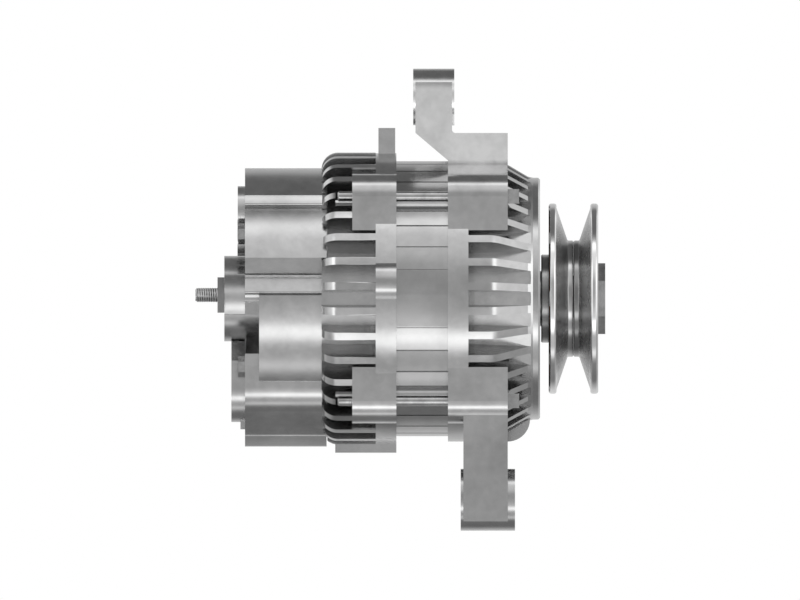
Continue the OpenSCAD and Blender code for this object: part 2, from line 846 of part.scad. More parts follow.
// Part of a ring between two angles, as a flat outline
module arc_outline(r0, r1, from, to) {
    far = r1 * 1.5;
    steps = 6;
    intersection() {
        difference() {
            circle(r = r1);
            circle(r = r0);
        }
        polygon(concat([[0, 0]], [for (i = [0:steps]) let (a = from + (to - from) * i / steps)
            far * [cos(a), sin(a)]]));
    }
}

module negative_heat_sink() {
    color("silver") difference() {
        section(negative_x, plate_t) arc_outline(plate_in, plate_out, plate_from, plate_to);
        around(negative_angles, diode_ring) rod(negative_x - cut, plate_t + 2 * cut, diode_r + seat);
        around(screw_angles, screw_ring) rod(negative_x - cut, plate_t + 2 * cut, 2.2);
        around(lead_angles, lead_ring) rod(negative_x - cut, plate_t + 2 * cut, 1.6);
    }
}

// Plate with a tongue that reaches the battery stud
module positive_heat_sink() {
    color("silver") difference() {
        section(positive_x, plate_t) union() {
            arc_outline(plate_in, plate_out, plate_from, plate_to);
            arc_outline(20, plate_in + 2, 120, plate_to - 2);
            arc_outline(20, 31, 122, 186);
        }
        around(positive_angles, diode_ring) rod(positive_x - cut, plate_t + 2 * cut, diode_r + seat);
        around(screw_angles, screw_ring) rod(positive_x - cut, plate_t + 2 * cut, 3.1 + seat);
        around(lead_angles, lead_ring) rod(positive_x - cut, plate_t + 2 * cut, 1.6);
        translate([0, stud_y, stud_z]) rod(positive_x - cut, plate_t + 2 * cut, stud_shank_r + seat);
    }
}

module negative_diodes() {
    color("gray") around(negative_angles, diode_ring) {
        rod(negative_x - 4, plate_t + 4, diode_r);
        rod(negative_x - 6.5, 2.5, 0.7);
    }
}

module positive_diodes() {
    color("gray") around(positive_angles, diode_ring) {
        rod(positive_x, plate_t + 3.6, diode_r);
        rod(positive_x + plate_t + 3.6, 2.4, 0.7);
    }
}

// Spacers between the plates and flanged bushes under the screw heads
module rectifier_insulators() {
    color("black") around(screw_angles, screw_ring) {
        tube(negative_x - plate_gap + seat, plate_gap - 2 * seat, 3.6, 2.1);
        tube(positive_x - 1.5, 1.5 - seat, 3.6, 2.1);
        tube(positive_x - 1.5, plate_t + 1.4, 3.1, 2.1);
    }
}

module rectifier_screws() {
    color("lightgray") around(screw_angles, screw_ring) {
        rod(positive_x - 3, tail_x + tail_wall - positive_x + 3, 2);
        rod(positive_x - 4, 2.5 - seat, 3.4);
    }
}

module phase_leads() {
    color("peru") around(lead_angles, lead_ring)
        rod(positive_x - 2, core_x - overhang - 0.3 - positive_x + 2, 0.9);
}

module capacitor() {
    x = cover_x + cover_t + 2;
    color("lightgray") around([capacitor_angle], capacitor_ring) rod(x, tail_x - 0.1 - x, 7);
}

module battery_stud() {
    head_x = positive_x + plate_t + seat;
    face_x = stud_base_x - stud_block_t;
    color("lightgray") translate([0, stud_y, stud_z]) {
        rod(face_x - stud_len, stud_len, stud_d / 2);
        rod(face_x - cut, head_x - face_x + cut, stud_shank_r);
        hex_bar(head_x, 3.5, 10);
    }
}

module stud_insulator() {
    color("gray") difference() {
        union() {
            translate([stud_base_x - stud_block_t, stud_y - stud_block / 2, stud_z - stud_block / 2])
                cube([stud_block_t - seat, stud_block, stud_block]);
            translate([0, stud_y, stud_z]) rod(stud_base_x - 1, 12, 5.2);
        }
        translate([0, stud_y, stud_z]) rod(stud_base_x - stud_block_t - cut, 18, stud_shank_r + seat);
    }
}

module rotor_shaft() {
    tip_x = nut_x + nut_h - 0.5;
    rear_step = rear_bearing_x + rear_bearing_w;
    end_x = outer_ring_x - 2.5;
    neck_x = rear_bearing_x - 1.5;
    color("lightgray") difference() {
        union() {
            rod(rear_step, pulley_t - pass - rear_step, shaft_d / 2);
            rod(0, tip_x, nut_bore_r);
            rod(neck_x, rear_step - neck_x, shaft_rear_d / 2);
            rod(end_x, neck_x - end_x, sleeve_r - 1.4);
        }
        translate([-9, -2 - seat, 5.8]) cube([12.5, 4 + 2 * seat, 6]);
    }
}

module shaft_key() {
    color("gray") translate([-8.9, -2, 5.85]) cube([11.2, 4, 4.2]);
}

// Tapered claws that reach from one pole disc across the coil
module claws(root_x) {
    reach = coil_w + pole_t * 1.5;
    root_w = 16;
    tip_w = 7;
    taper_x = root_x - pole_t + 1.3;
    inner = pole_core_r + 2;
    intersection() {
        turned() polygon([
            [inner, root_x], [rotor_r - 1, root_x], [rotor_r, root_x - 1], [rotor_r, root_x - reach],
            [rotor_r - 4, root_x - reach], [rotor_r - 8.5, root_x - pole_t], [inner, root_x - pole_t]
        ]);
        union() for (i = [0:claw_count - 1])
            rotate([i * 360 / claw_count, 0, 0]) translate([0, 0, 10]) linear_extrude(40) polygon([
                [root_x + 1, -root_w / 2], [root_x + 1, root_w / 2], [taper_x, root_w / 2],
                [root_x - reach, tip_w / 2], [root_x - reach, -tip_w / 2], [taper_x, -root_w / 2]
            ]);
    }
}

// One pole piece with its half of the core inside the coil
module pole_piece() {
    face_x = coil_w / 2 + pole_t;
    difference() {
        union() {
            claws(face_x);
            rod(coil_w / 2, pole_t, rotor_r - 13);
            rod(seat, coil_w / 2, pole_core_r);
        }
        rod(-cut, face_x + 2 * cut, shaft_d / 2 + seat);
    }
}

module front_claw_pole() {
    color("dimgray") translate([middle_x, 0, 0]) pole_piece();
}

module rear_claw_pole() {
    color("dimgray") translate([middle_x, 0, 0])
        rotate([180 / claw_count, 0, 0]) mirror([1, 0, 0]) pole_piece();
}

module coil_bobbin() {
    w = coil_w - 0.4;
    x = middle_x - w / 2;
    wall_t = 1.2;
    in_r = pole_core_r + 0.1;
    out_r = coil_r + 0.6;
    color("beige") turned() polygon([
        [in_r, x], [out_r, x], [out_r, x + wall_t], [in_r + wall_t, x + wall_t],
        [in_r + wall_t, x + w - wall_t], [out_r, x + w - wall_t], [out_r, x + w], [in_r, x + w]
    ]);
}

module field_coil() {
    w = coil_w - 3;
    color("peru") tube(middle_x - w / 2, w, coil_r, pole_core_r + 1.4);
}

module slip_ring_sleeve() {
    x = outer_ring_x - 1.5;
    length = rear_bearing_x - 2 - x;
    color("black") difference() {
        union() {
            rod(x, length, sleeve_r);
            rod(outer_ring_x + slip_ring_w + 0.1, ring_gap - 0.2, sleeve_r + 1.4);
        }
        rod(x - cut, length + 2 * cut, sleeve_r - 1.4 + seat);
    }
}

module inner_slip_ring() {
    color("peru") tube(inner_ring_x, slip_ring_w, slip_ring_d / 2, sleeve_r + seat);
}

module outer_slip_ring() {
    color("peru") tube(outer_ring_x, slip_ring_w, slip_ring_d / 2, sleeve_r + seat);
}

// Pressed fan: a disc with slanted blades standing away from the pole
module fan() {
    blades = 9;
    root = 20;
    color("gray") difference() {
        union() {
            rod(0, fan_t, rotor_r - 11);
            for (i = [0:blades - 1]) rotate([i * 360 / blades, 0, 0]) {
                section(0, fan_t) translate([-7, root]) square([14, rotor_r - 3 - root]);
                section(0, fan_h) translate([-6, root + 1]) rotate(-32) square([fan_t, rotor_r - 4 - root]);
            }
        }
        rod(-cut, fan_t + 2 * cut, shaft_d / 2 + seat);
    }
}

module front_fan() {
    translate([pole_front_x + seat, 0, 0]) fan();
}

module rear_fan() {
    translate([pole_rear_x - seat, 0, 0]) mirror([1, 0, 0]) fan();
}

// Collar between the front bearing and the pulley
module pulley_collar() {
    race_x = front_bearing_x + front_bearing_w + seat;
    web_x = -web_gap - pulley_t - seat;
    flange_x = nose_x + 0.5;
    r = collar_d / 2;
    color("silver") difference() {
        turned() polygon([
            [shaft_d / 2 + seat, race_x], [collar_neck_r, race_x], [collar_neck_r, flange_x],
            [r - 0.5, flange_x], [r, flange_x + 0.5], [r, -8.5], [collar_neck_r + 2, -7.5],
            [collar_neck_r + 2, web_x], [shaft_d / 2 + seat, web_x]
        ]);
        translate([-9, -2 - seat, 5.8]) cube([12.5, 4 + 2 * seat, 4.3]);
    }
}

// Half of the pressed pulley behind the belt groove
module pulley_half() {
    rim_r = 1.65;
    root_r = pulley_root_d / 2;
    rim_x = rim_r - pulley_w / 2;
    groove_r = pulley_d / 2 - 2.35;
    groove_x = rim_x + rim_r;
    root_x = -2.55;
    lip = 1.2;
    color("lightgray") difference() {
        union() {
            turned() polygon([
                [shaft_d / 2 + seat, -web_gap], [root_r - lip, -web_gap], [root_r, -web_gap - lip],
                [root_r, root_x],
                [groove_r, groove_x], [pulley_d / 2 - rim_r, rim_x],
                [groove_r - pulley_t * 0.34, groove_x - pulley_t * 0.94],
                [root_r - pulley_t * 0.5, root_x - pulley_t * 0.9],
                [root_r - pulley_t, root_x - pulley_t * 0.6],
                [root_r - pulley_t, -web_gap - pulley_t], [shaft_d / 2 + seat, -web_gap - pulley_t]
            ]);
            turned() translate([pulley_d / 2 - rim_r, rim_x]) circle(r = rim_r);
            turned() translate([root_r - lip, -web_gap - lip]) circle(r = lip);
        }
        translate([-6, -2 - seat, 5.8]) cube([8, 4 + 2 * seat, 4.3]);
    }
}

module rear_pulley_half() {
    pulley_half();
}

module front_pulley_half() {
    mirror([1, 0, 0]) pulley_half();
}

module lock_washer() {
    x = web_gap + pulley_t + seat;
    color("silver") tube(x, nut_x - seat - x, nut_af / 2 - 0.5, nut_bore_r + pass);
}

module pulley_nut() {
    color("silver") difference() {
        hex_bar(nut_x, nut_h, nut_af);
        rod(nut_x - cut, nut_h + 2 * cut, nut_bore_r + seat);
    }
}

drive_end_frame();
pivot_bush();
ear_insert();
slip_ring_end_frame();
stator_core();
stator_winding();
through_bolts();
front_bearing_outer_race();
rear_bearing_outer_race();
bearing_retainer();
retainer_screws();
rear_cover();
cover_screws();
regulator();
regulator_screws();
brush_holder();
inner_brush();
outer_brush();
inner_brush_spring();
outer_brush_spring();
negative_heat_sink();
positive_heat_sink();
negative_diodes();
positive_diodes();
rectifier_insulators();
rectifier_screws();
phase_leads();
capacitor();
battery_stud();
stud_insulator();
rotor_shaft();
front_claw_pole();
rear_claw_pole();
coil_bobbin();
field_coil();
slip_ring_sleeve();
inner_slip_ring();
outer_slip_ring();
front_fan();
rear_fan();
front_bearing_inner_race();
rear_bearing_inner_race();
front_bearing_balls();
front_bearing_cage();
rear_bearing_balls();
rear_bearing_cage();
pulley_collar();
rear_pulley_half();
front_pulley_half();
lock_washer();
pulley_nut();
shaft_key();
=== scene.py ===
import json
import math

import bmesh
import bpy
import numpy as np
from mathutils.geometry import tessellate_polygon
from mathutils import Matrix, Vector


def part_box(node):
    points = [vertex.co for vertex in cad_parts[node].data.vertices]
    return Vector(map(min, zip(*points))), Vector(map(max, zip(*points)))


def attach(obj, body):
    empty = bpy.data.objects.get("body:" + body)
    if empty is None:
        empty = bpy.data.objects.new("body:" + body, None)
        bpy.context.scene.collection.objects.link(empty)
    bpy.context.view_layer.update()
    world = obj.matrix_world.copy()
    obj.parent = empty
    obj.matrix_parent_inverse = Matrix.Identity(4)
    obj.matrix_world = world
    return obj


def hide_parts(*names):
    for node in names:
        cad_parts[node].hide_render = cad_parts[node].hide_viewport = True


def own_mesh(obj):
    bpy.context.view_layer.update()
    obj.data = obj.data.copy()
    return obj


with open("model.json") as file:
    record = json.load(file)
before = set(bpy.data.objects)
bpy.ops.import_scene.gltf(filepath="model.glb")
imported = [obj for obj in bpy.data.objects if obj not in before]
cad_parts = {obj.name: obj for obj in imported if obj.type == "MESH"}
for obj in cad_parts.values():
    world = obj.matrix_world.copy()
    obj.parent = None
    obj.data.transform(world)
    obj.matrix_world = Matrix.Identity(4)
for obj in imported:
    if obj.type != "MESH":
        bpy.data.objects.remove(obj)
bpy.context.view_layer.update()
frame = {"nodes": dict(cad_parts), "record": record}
nodes = frame["nodes"]
print("alternator: frame loaded,", len(nodes), "CAD nodes")

mm = 0.001


# shader helpers: a wrapped socket does sums, and Surface makes one material

class Link:
    def __init__(self, tree, socket):
        self.tree = tree
        self.socket = socket

    def combine(self, kind, other, swap=False):
        node = self.tree.nodes.new("ShaderNodeMath")
        node.operation = kind
        pair = (other, self) if swap else (self, other)
        for entry, value in zip(node.inputs, pair):
            connect(self.tree, entry, value)
        return Link(self.tree, node.outputs[0])

    def __add__(self, other):
        return self.combine("ADD", other)

    def __radd__(self, other):
        return self.combine("ADD", other, True)

    def __sub__(self, other):
        return self.combine("SUBTRACT", other)

    def __rsub__(self, other):
        return self.combine("SUBTRACT", other, True)

    def __mul__(self, other):
        return self.combine("MULTIPLY", other)

    def __rmul__(self, other):
        return self.combine("MULTIPLY", other, True)

    def __truediv__(self, other):
        return self.combine("DIVIDE", other)

    def __rtruediv__(self, other):
        return self.combine("DIVIDE", other, True)


def connect(tree, entry, value):
    # a link is wired in, anything else is the socket's own value
    if isinstance(value, Link):
        tree.links.new(value.socket, entry)
    elif value is not None:
        entry.default_value = value


class Surface:
    def __init__(self, name):
        self.material = bpy.data.materials.new(name)
        self.material.use_nodes = True
        self.tree = self.material.node_tree
        self.shader = self.tree.nodes["Principled BSDF"]
        self.place = self.add("ShaderNodeTexCoord", out="Object")

    def add(self, kind, settings=None, inputs=None, out=0):
        node = self.tree.nodes.new(kind)
        for key, value in (settings or {}).items():
            if key == "stops":  # colour ramp: list of (position, grey or colour)
                ramp = node.color_ramp
                while len(ramp.elements) > 1:
                    ramp.elements.remove(ramp.elements[-1])
                for i, (position, colour) in enumerate(value):
                    stop = ramp.elements[0] if i == 0 else ramp.elements.new(position)
                    stop.position = position
                    stop.color = grey(colour)
            else:
                setattr(node, key, value)
        for key, value in (inputs or {}).items():
            connect(self.tree, node.inputs[key], value)
        return None if out is None else Link(self.tree, node.outputs[out])

    def noise(self, scale, detail=3, rough=0.55, stretch=None):
        # fractal noise over the object's own coordinates, in lumps per metre
        place = self.place
        if stretch:
            place = self.add("ShaderNodeMapping", inputs={"Vector": place, "Scale": stretch})
        return self.add("ShaderNodeTexNoise", inputs={
            "Vector": place, "Scale": scale, "Detail": detail, "Roughness": rough})

    def ramp(self, value, stops):
        return self.add("ShaderNodeValToRGB", {"stops": stops}, {"Fac": value})

    def split(self):
        node = self.tree.nodes.new("ShaderNodeSeparateXYZ")
        self.tree.links.new(self.place.socket, node.inputs[0])
        return [Link(self.tree, node.outputs[i]) for i in range(3)]

    def blend(self, share, first, second):
        node = self.tree.nodes.new("ShaderNodeMix")
        node.data_type = "RGBA"
        connect(self.tree, node.inputs["Factor"], share)
        for key, value in (("A", first), ("B", second)):
            entry = next(s for s in node.inputs if s.name == key and s.type == "RGBA")
            connect(self.tree, entry, value if isinstance(value, Link) else grey(value))
        return Link(self.tree, next(s for s in node.outputs if s.type == "RGBA"))

    def times(self, first, second):
        # product of two colours, or of a colour and one number
        if isinstance(second, (int, float)):
            return self.add("ShaderNodeVectorMath", {"operation": "SCALE"}, {0: first, "Scale": second})
        return self.add("ShaderNodeVectorMath", {"operation": "MULTIPLY"}, {0: first, 1: second})

    def bump(self, height, strength, depth):
        normal = self.add("ShaderNodeBump", inputs={
            "Height": height, "Strength": strength, "Distance": depth}, out="Normal")
        connect(self.tree, self.shader.inputs["Normal"], normal)

    def set(self, **values):
        for key, value in values.items():
            connect(self.tree, self.shader.inputs[key.replace("_", " ")], value)


def grey(value):
    # four channels from one tone or from three
    if isinstance(value, (int, float)):
        return (value, value, value, 1.0)
    return (*value, 1.0)


# materials

cast = {
    "light": 0.5, "dark": 0.4,             # cloudy tone of the blasted casting
    "cloudScale": 42, "mottleFiner": 4.5,  # lumps per metre, and how much finer the mottling is
    "cloudShare": 0.7,
    "roughLow": 0.15, "roughHigh": 0.27, "coverRougher": 0.03,
    "grainScale": 1500, "grainDepth": 0.00004, "grainStrength": 0.12,
}
# painted light and shade by height on the drive end frame: the tones below paint the foot darker and the ear
# lighter than the middle
paintedArmLight = {
    "low": -0.1, "high": 0.1,  # heights in metres that the tones below run between
    "blur": 0.006,             # clouds push the borders up and down
    "gain": 2.2,               # a tone of 1 / gain leaves the casting as it is
    "tones": [(0.0, 0.41), (0.2, 0.41), (0.3, 0.455), (0.812, 0.455), (0.824, 0.8),
              (0.975, 0.8), (0.985, 0.52), (1.0, 0.5)],
}


def castAluminium(name, withPaintedArmLight=False, rougher=0.0):
    c = cast
    s = Surface(name)
    clouds = s.noise(c["cloudScale"], 4, 0.6)
    mottle = s.noise(c["cloudScale"] * c["mottleFiner"], 3, 0.6)
    grain = s.noise(c["grainScale"], 2, 0.5)
    mix = clouds * c["cloudShare"] + mottle * (1 - c["cloudShare"])
    colour = s.ramp(mix, [(0.36, c["dark"]), (0.62, c["light"])])
    if withPaintedArmLight:  # painted light and shade: the foot is painted darker than the middle and the ear lighter, for how light falls on them
        a = paintedArmLight
        x, y, z = s.split()
        height = (z + clouds * a["blur"] - a["low"]) / (a["high"] - a["low"])
        colour = s.times(s.times(colour, s.ramp(height, a["tones"])), a["gain"])
    s.set(Base_Color=colour, Metallic=1.0)
    s.set(Roughness=mottle * (c["roughHigh"] - c["roughLow"]) + (c["roughLow"] + rougher))
    s.bump(grain * 0.5 + mottle * 0.5, c["grainStrength"], c["grainDepth"])
    return s.material


laminated = {"light": 0.46, "dark": 0.36, "cloudScale": 38, "rough": 0.16, "roughSpread": 0.1,
             "sheetScale": 300, "sheetWaver": 0.4, "sheetStrength": 0.05, "sheetDepth": 0.00003}


def coreSteel():
    # thin sheets stacked along the shaft show as fine rings round the core
    c = laminated
    s = Surface("laminatedSteel")
    sheets = s.add("ShaderNodeTexWave", {"wave_type": "BANDS", "bands_direction": "X"}, {
        "Vector": s.place, "Scale": c["sheetScale"], "Distortion": c["sheetWaver"], "Detail": 1})
    clouds = s.noise(c["cloudScale"], 4, 0.6)
    s.set(Base_Color=s.ramp(clouds, [(0.35, c["dark"]), (0.65, c["light"])]), Metallic=1.0)
    s.set(Roughness=clouds * c["roughSpread"] + c["rough"])
    s.bump(sheets, c["sheetStrength"], c["sheetDepth"])
    return s.material


turned = {
    "marks": (2600, 60, 60),  # noise squeezed along the shaft into lathe rings
    "markStrength": 0.08, "cloudScale": 60,
    "collarLight": 0.34, "collarDark": 0.22, "collarRough": 0.2, "collarDepth": 0.00002,
    "pulleyLight": 0.76, "pulleyDark": 0.62, "pulleyRough": 0.06, "pulleyDepth": 0.00001,
}
pulleyPaintedLight = {
    "reach": 0.045,  # distance from the axis in metres that counts as 1
    # root, groove wall and rim; the lighter tones of the groove walls and rims are painted highlight
    "tones": [(0.0, 0.62), (0.57, 0.62), (0.59, 0.8), (0.85, 0.85), (0.88, 0.95)],
    "rough": [(0.57, 0.1), (0.59, 0.24), (0.85, 0.24), (0.88, 0.1)],
    "across": 0.02,  # metres along the shaft, from the rear half to the front half
    # painted shade: the root of the front half is darker
    "sides": [(0.0, 1.0), (0.42, 1.0), (0.5, 0.55), (0.6, 0.55), (0.66, 0.9)],
}


def collarSteel():
    c = turned
    s = Surface("collarSteel")
    rings = s.noise(1, 2, 0.5, stretch=c["marks"])
    clouds = s.noise(c["cloudScale"], 3, 0.5)
    s.set(Base_Color=s.ramp(clouds, [(0.35, c["collarDark"]), (0.65, c["collarLight"])]), Metallic=1.0)
    s.set(Roughness=clouds * (c["collarRough"] * 0.5) + c["collarRough"] * 0.75)
    s.bump(rings, c["markStrength"], c["collarDepth"])
    return s.material


def pulleySteel():
    # painted highlight and painted shade: the rolled rims and groove walls are painted lighter than the root,
    # and the root of the front half darker; the rims are also smoother and the groove walls rougher
    c = turned
    paintedZones = pulleyPaintedLight
    s = Surface("pulleySteel")
    x, y, z = s.split()
    distance = s.add("ShaderNodeMath", {"operation": "SQRT"}, {0: y * y + z * z}) / paintedZones["reach"]
    clouds = s.noise(c["cloudScale"], 3, 0.5)
    base = s.ramp(clouds, [(0.35, c["pulleyDark"]), (0.65, c["pulleyLight"])])
    # painted shade on the root of the front half
    side = s.ramp(x / paintedZones["across"] + 0.5, paintedZones["sides"])
    # the zone tones are painted highlight and the side factor painted shade
    s.set(Base_Color=s.times(s.times(base, s.ramp(distance, paintedZones["tones"])), side), Metallic=1.0)
    s.set(Roughness=clouds * c["pulleyRough"] + s.ramp(distance, paintedZones["rough"]))
    s.bump(s.noise(1, 2, 0.5, stretch=c["marks"]), c["markStrength"], c["pulleyDepth"])
    return s.material


plated = {"cloudScale": 180, "roughSpread": 0.12, "spotScale": 900, "spotStrength": 0.06,
          "spotDepth": 0.00002}


def platedSteel(name, light, dark, rough):
    c = plated
    s = Surface(name)
    clouds = s.noise(c["cloudScale"], 4, 0.6)
    spots = s.noise(c["spotScale"], 2, 0.5)
    s.set(Base_Color=s.ramp(clouds, [(0.35, dark), (0.65, light)]), Metallic=1.0)
    s.set(Roughness=clouds * c["roughSpread"] + rough)
    s.bump(spots, c["spotStrength"], c["spotDepth"])
    return s.material


lacquered = {"light": (0.62, 0.28, 0.11), "dark": (0.42, 0.16, 0.06), "cloudScale": 140, "metallic": 0.85,
             "rough": 0.3, "roughSpread": 0.15, "coat": 0.5,
             "grainScale": 700, "grainStrength": 0.15, "grainDepth": 0.00005}


def lacqueredCopper():
    c = lacquered
    s = Surface("lacqueredCopper")
    clouds = s.noise(c["cloudScale"], 4, 0.6)
    s.set(Base_Color=s.blend(clouds, c["dark"], c["light"]), Metallic=c["metallic"])
    s.set(Roughness=clouds * c["roughSpread"] + c["rough"], Coat_Weight=c["coat"])
    s.bump(s.noise(c["grainScale"], 2, 0.5), c["grainStrength"], c["grainDepth"])
    return s.material


bronze = {"light": (0.68, 0.42, 0.2), "dark": (0.5, 0.28, 0.12), "cloudScale": 120,
          "rough": 0.2, "roughSpread": 0.12, "marks": (3200, 40, 40), "markStrength": 0.08,
          "markDepth": 0.00003}


def ringBronze():
    c = bronze
    s = Surface("ringBronze")
    marks = s.noise(1, 2, 0.5, stretch=c["marks"])
    s.set(Base_Color=s.blend(s.noise(c["cloudScale"]), c["dark"], c["light"]), Metallic=1.0)
    s.set(Roughness=marks * c["roughSpread"] + c["rough"])
    s.bump(marks, c["markStrength"], c["markDepth"])
    return s.material


moulded = {"cloudScale": 90, "rough": 0.45, "roughSpread": 0.15, "speckScale": 1100,
           "speckStrength": 0.15, "speckDepth": 0.00004}


def darkMoulding(name, light, dark):
    c = moulded
    s = Surface(name)
    clouds = s.noise(c["cloudScale"], 4, 0.6)
    speck = s.noise(c["speckScale"], 3, 0.6)
    s.set(Base_Color=s.ramp(clouds, [(0.35, dark), (0.65, light)]), Metallic=0.0)
    s.set(Roughness=speck * c["roughSpread"] + c["rough"])
    s.bump(speck, c["speckStrength"], c["speckDepth"])
    return s.material


finish = {
    "cast": castAluminium("castAluminium"),
    "core_steel": coreSteel(),
    "copper": lacqueredCopper(),
    "ring_bronze": ringBronze(),
    "steel": platedSteel("platedSteel", light=0.46, dark=0.34, rough=0.16),
    "pole_iron": platedSteel("blackenedIron", light=0.16, dark=0.09, rough=0.4),
    "pulley_steel": pulleySteel(),
    "moulding": darkMoulding("darkMoulding", light=0.2, dark=0.13),
    "carbon": darkMoulding("brushCarbon", light=0.05, dark=0.025),
}
coverCast = castAluminium("castCover", rougher=cast["coverRougher"])
ownFinish = {
    "drive_end_frame": castAluminium("castWithPaintedLight", withPaintedArmLight=True),
    "pulley_collar": collarSteel(),
}
slotOf = {p["node"]: p["material_slot"] for p in frame["record"]["subparts"]}
for name, obj in nodes.items():
    obj.data.materials.clear()
    obj.data.materials.append(ownFinish.get(name, finish[slotOf[name]]))
print("alternator: materials on", len(slotOf), "nodes")


# mesh helpers

def makePiece(name, points, faces, body, slotName, stands=(), finishOf=None):
    mesh = bpy.data.meshes.new(name)
    faces = faces if isinstance(faces, list) else faces.tolist()
    mesh.from_pydata(np.asarray(points, float).tolist(), [], faces)
    mesh.validate()
    mesh.polygons.foreach_set("use_smooth", np.full(len(mesh.polygons), True))
    obj = bpy.data.objects.new(name, mesh)
    bpy.context.scene.collection.objects.link(obj)
    obj.data.materials.append(finishOf or finish[slotName])
    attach(obj, body)
    if stands:
        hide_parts(*stands)
    return obj


def gridFaces(rows, columns, closeRows=False):
    # quads of a rows x columns grid; columns wrap round, rows only if asked
    i = np.arange(rows if closeRows else rows - 1)
    j = np.arange(columns)
    a = i[:, None] * columns + j[None, :]
    b = i[:, None] * columns + (j[None, :] + 1) % columns
    c = (i[:, None] + 1) % rows * columns + (j[None, :] + 1) % columns
    d = (i[:, None] + 1) % rows * columns + j[None, :]
    return np.stack([a, b, c, d], -1).reshape(-1, 4)


def revolve(profile, around):
    # closed [radius, x] profile about the shaft: x stays, radius turns through the angle
    angle = np.linspace(0, 2 * np.pi, around, endpoint=False)
    x = np.repeat(profile[:, 1, None], around, 1)
    y = profile[:, 0, None] * np.cos(angle)
    z = profile[:, 0, None] * np.sin(angle)
    points = np.stack([x, y, z], -1).reshape(-1, 3)
    faces = gridFaces(len(profile), around, closeRows=True)
    return points, faces


def outward(obj):
    # consistent outward normals on a closed mesh
    work = bmesh.new()
    work.from_mesh(obj.data)
    bmesh.ops.recalc_face_normals(work, faces=work.faces)
    work.to_mesh(obj.data)
    work.free()


def sharpen(obj, degrees=32):
    obj.data.set_sharp_from_angle(angle=math.radians(degrees))


def filletPath(corners, radii, steps=7):
    # closed polyline whose corners become arcs of the given radii, each between its two tangent points
    corners = np.asarray(corners, float)
    out = []
    for k, corner in enumerate(corners):
        before = corners[k - 1] - corner
        after = corners[(k + 1) % len(corners)] - corner
        u = before / np.linalg.norm(before)
        v = after / np.linalg.norm(after)
        half = np.arccos(np.clip(u @ v, -1, 1)) / 2
        r = radii[k]
        middle = corner + (u + v) / np.linalg.norm(u + v) * r / np.sin(half)
        start = corner + u * r / np.tan(half) - middle
        end = corner + v * r / np.tan(half) - middle
        a0, a1 = np.arctan2(start[1], start[0]), np.arctan2(end[1], end[0])
        sweep = (a1 - a0 + np.pi) % (2 * np.pi) - np.pi
        t = a0 + sweep * np.linspace(0, 1, steps)
        out.append(middle + r * np.stack([np.cos(t), np.sin(t)], -1))
    return np.concatenate(out)


def cylinderGrid(xs, radius, axis=(0.0, 0.0), around=48):
    # closed bar along the shaft: radius is an array of rows x around, capped by its own end points
    angle = np.linspace(0, 2 * np.pi, around, endpoint=False)
    radius = np.broadcast_to(radius, (len(xs), around))
    x = np.repeat(np.asarray(xs, float)[:, None], around, 1)
    y = axis[0] + radius * np.cos(angle)
    z = axis[1] + radius * np.sin(angle)
    points = np.stack([x, y, z], -1).reshape(-1, 3)
    faces = gridFaces(len(xs), around).tolist()
    faces.append(list(range(around))[::-1])
    faces.append([(len(xs) - 1) * around + k for k in range(around)])
    return points, faces


def joinParts(parts):
    # several (points, faces) lists as one
    points, faces, base = [], [], 0
    for p, f in parts:
        points.append(np.asarray(p, float))
        faces += [[base + k for k in face] for face in f]
        base += len(p)
    return np.concatenate(points), faces


# pulley: two pressed shells with rolled rims, back to back

pulley = {
    "bore": 8.55, "rootRadius": 25.6, "plate": 2.38, "webFace": -0.02, "rootEdge": -2.6, "rootBack": -4.1,
    "wallTop": 39.9, "rimFront": -7.45, "rimRadius": 41.85, "rimBack": -10.9, "rimLow": 38.2,
    "backTop": (37.5, -9.3), "backRoot": (24.4, -5.0), "around": 192,
    "bends": [0.15, 0.7, 0.8, 0.5, 1.1, 1.2, 1.1, 0.6, 0.8, 0.4, 0.5, 0.15],  # one for each corner below
}


def pulleyShell(side):
    # profile of (radius, place along the shaft) corners, rounded, then turned about the shaft
    p = pulley
    inner = p["rootRadius"] - p["plate"]
    webBack = p["webFace"] - p["plate"]
    corners = [
        (p["bore"], p["webFace"]), (p["rootRadius"], p["webFace"]), (p["rootRadius"], p["rootEdge"]),
        (p["wallTop"], p["rimFront"]), (p["rimRadius"], p["rimFront"]), (p["rimRadius"], p["rimBack"]),
        (p["rimLow"], p["rimBack"]), p["backTop"], p["backRoot"],
        (inner, p["rootBack"]), (inner, webBack), (p["bore"], webBack),
    ]
    profile = filletPath(corners, p["bends"])
    profile[:, 1] *= side
    return revolve(profile * mm, p["around"])


for side, name, node in ((1, "pulleyRearShell", "rear_pulley_half"),
                         (-1, "pulleyFrontShell", "front_pulley_half")):
    points, faces = pulleyShell(side)
    shell = makePiece(name, points, faces, "rotor", "pulley_steel", [node])
    outward(shell)
    sharpen(shell)
print("alternator: pulley shells")


# battery stud: rolled thread outside, hexagon head inside

stud = {"axis": (-24.0, 1.6), "tip": -166.3, "face": -156.62, "seat": -122.78, "radius": 3.2,
        "shank": 2.99, "overlap": 0.2, "pitch": 1.0, "depth": 0.3, "headWide": 10, "head": 3.5,
        "headGap": 0.02, "headTurn": 30}


def scaled(axis):
    return axis[0] * mm, axis[1] * mm


def threadedBar(xs, radius, pitch, depth, axis, taper=0.8, around=48):
    # radius falls by depth along a triangle wave that climbs one pitch a turn; the tip is cut over taper
    chamfer = 0.5
    angle = np.linspace(0, 1, around, endpoint=False)
    phase = (xs[:, None] / pitch - angle[None]) % 1
    wave = 2 * np.abs(phase - 0.5)
    r = radius - depth * (1 - wave)
    tip = np.clip((xs - xs[0]) / taper, 0, 1)[:, None]
    return cylinderGrid(xs * mm, (r - chamfer * (1 - tip)) * mm, scaled(axis), around)


